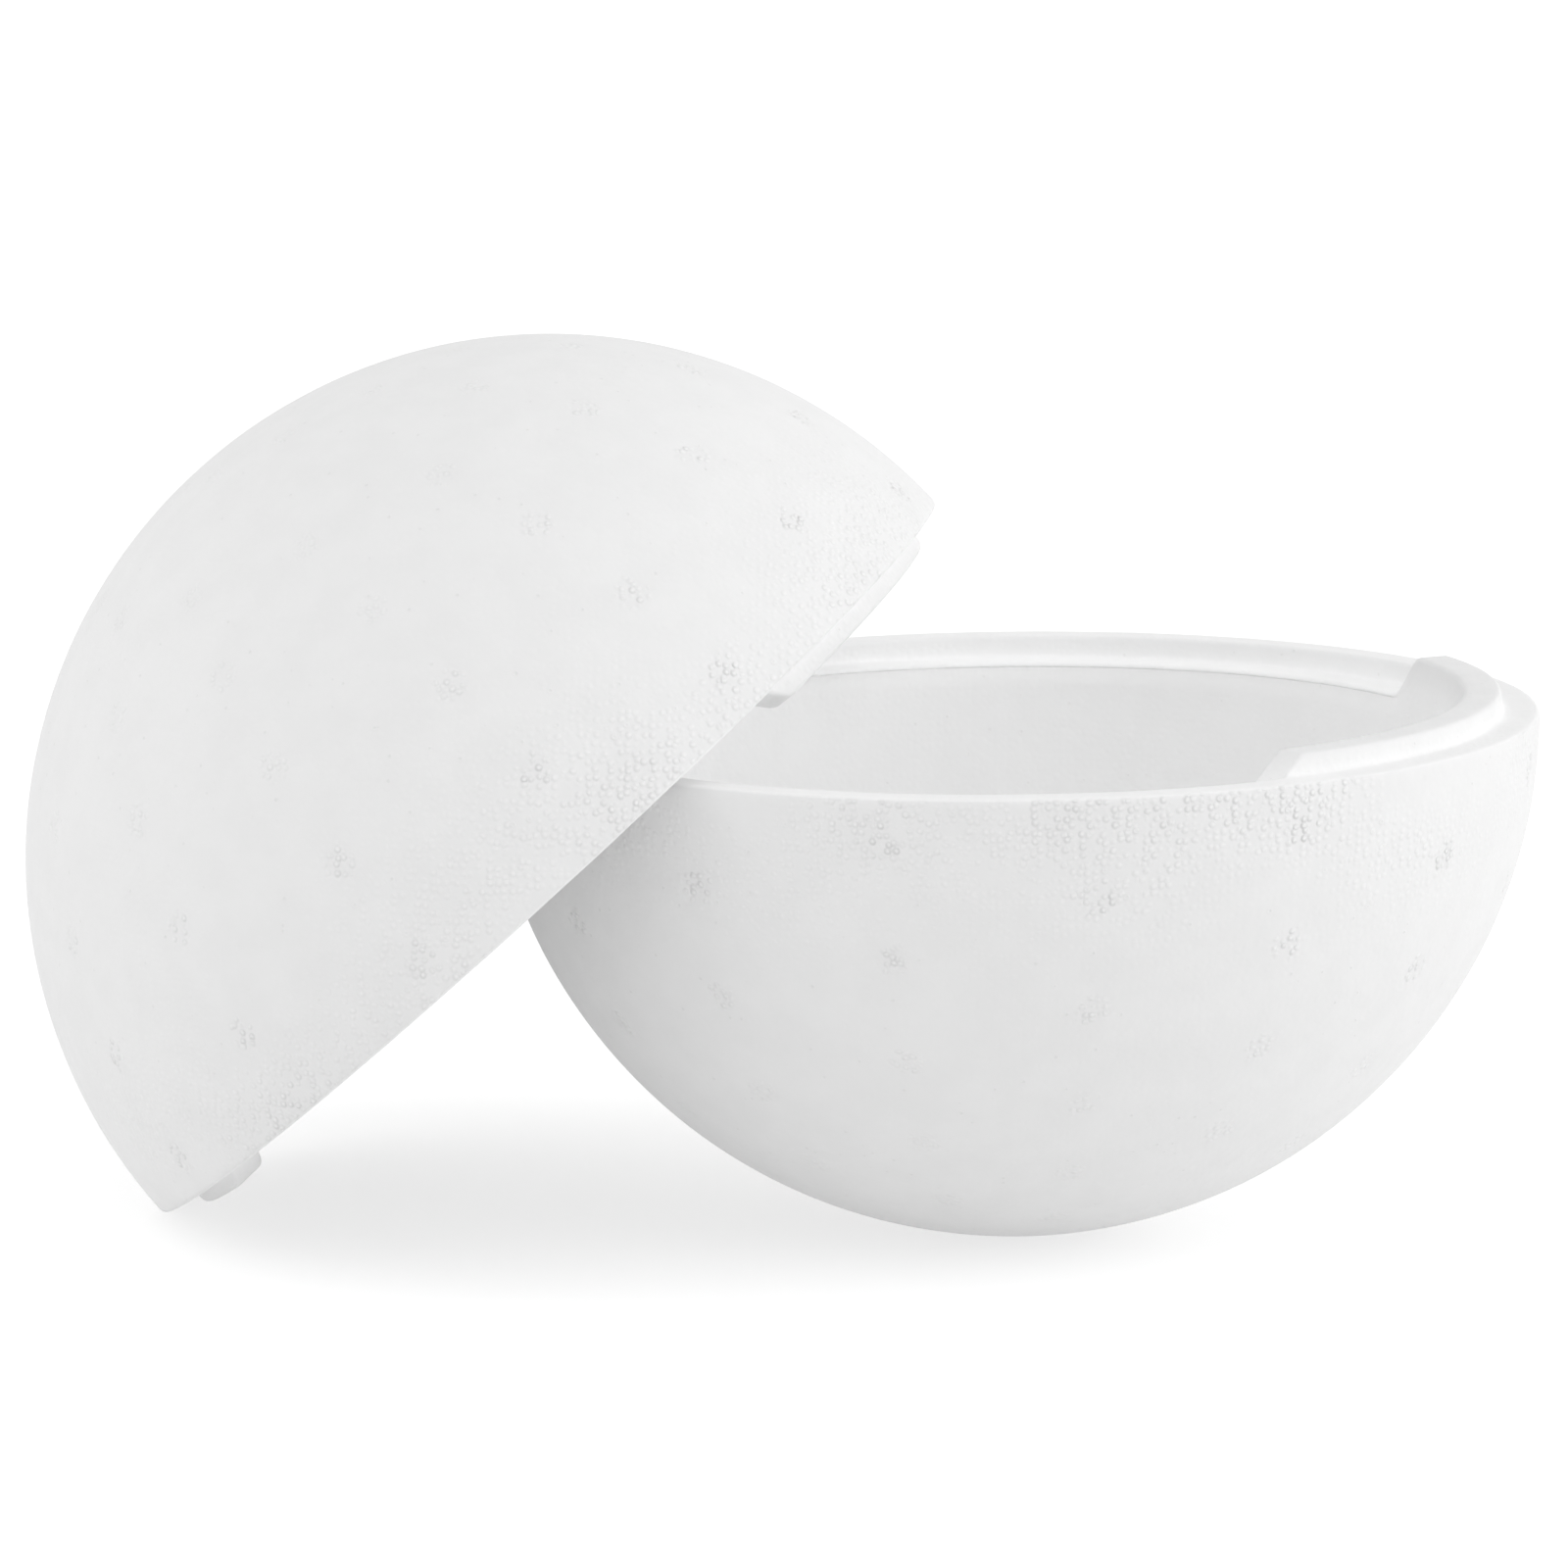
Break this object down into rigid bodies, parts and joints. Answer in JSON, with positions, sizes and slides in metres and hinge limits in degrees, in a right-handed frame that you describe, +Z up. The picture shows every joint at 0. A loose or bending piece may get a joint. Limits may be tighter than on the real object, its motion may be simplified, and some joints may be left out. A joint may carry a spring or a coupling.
{
  "type": "hollow polystyrene ball",
  "caption": "Hollow craft ball of white expanded polystyrene, opened into matching half shells: one stands as a bowl, the other leans on it like a dome.",
  "frame": {"origin": "on the surface the halves stand on, under the middle of their joint box", "axes": "+Z up, +X along the row of the two halves from the leaning one to the standing one, +Y away from the side the picture shows"},
  "size_m": [0.5734, 0.4112, 0.3364],
  "materials": {
    "foam": "matt white moulded bead foam"
  },
  "bodies": {
    "root": {"lower_half": "foam", "upper_half": "foam"}
  },
  "joints": []
}
